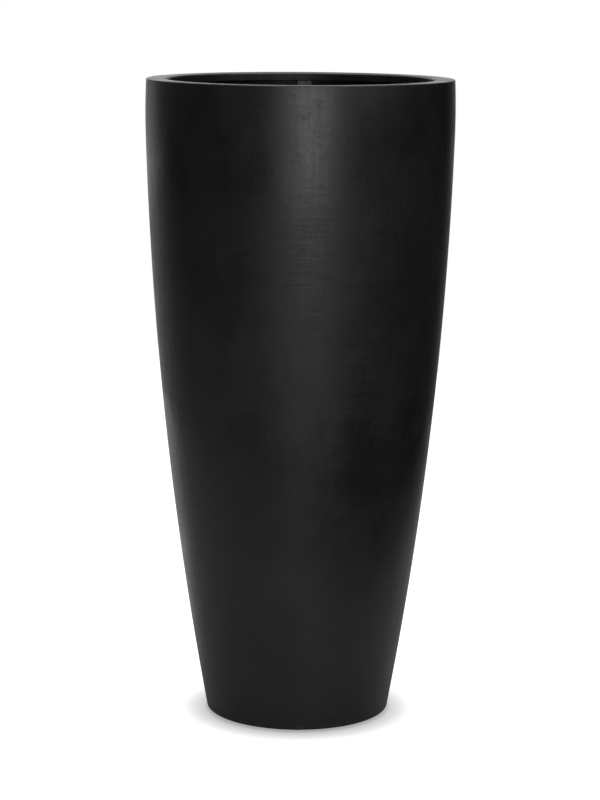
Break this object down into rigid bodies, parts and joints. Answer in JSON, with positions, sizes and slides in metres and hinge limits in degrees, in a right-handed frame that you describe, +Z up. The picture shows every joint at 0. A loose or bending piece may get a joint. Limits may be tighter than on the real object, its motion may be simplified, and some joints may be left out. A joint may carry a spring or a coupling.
{
  "type": "tall round floor planter",
  "caption": "Tall round bellied fiberglass planter with a flat lipped rim, a floor pan with drain plug, and a lift-out planting shelf.",
  "frame": {"origin": "on the floor, on the planter's axis, at the underside of the foot pads", "axes": "+Z up along the planter's axis; -Y towards the front of the picture; the rim's joint is at the back, +Y"},
  "size_m": [0.478, 0.478, 1],
  "materials": {
    "wall_paint": "satin black paint on hand-laid fiberglass",
    "glass_mat": "raw glass mat in resin, unpainted",
    "pan_laminate": "dull black, coarse mat texture",
    "pad_rubber": "matte",
    "plug_rubber": "matte",
    "shelf_plastic": "fine grained moulding"
  },
  "bodies": {
    "planter": {"outer_wall": "wall_paint", "rim_ring": "wall_paint", "rim_joint_strap": "glass_mat", "floor_pan": "pan_laminate", "foot_pad_1": "pad_rubber", "foot_pad_2": "pad_rubber", "foot_pad_3": "pad_rubber", "foot_pad_4": "pad_rubber", "foot_pad_5": "pad_rubber", "foot_pad_6": "pad_rubber"},
    "shelf": {"planting_shelf": "shelf_plastic"},
    "plug": {"drain_plug": "plug_rubber"}
  },
  "joints": [
    {"name": "shelf_lift", "type": "slide", "parent": "planter", "child": "shelf", "axis": [0, 0, 1], "range_m": [0, 0.7]},
    {"name": "plug_pull", "type": "slide", "parent": "planter", "child": "plug", "axis": [0, 0, 1], "range_m": [0, 0.3]}
  ]
}
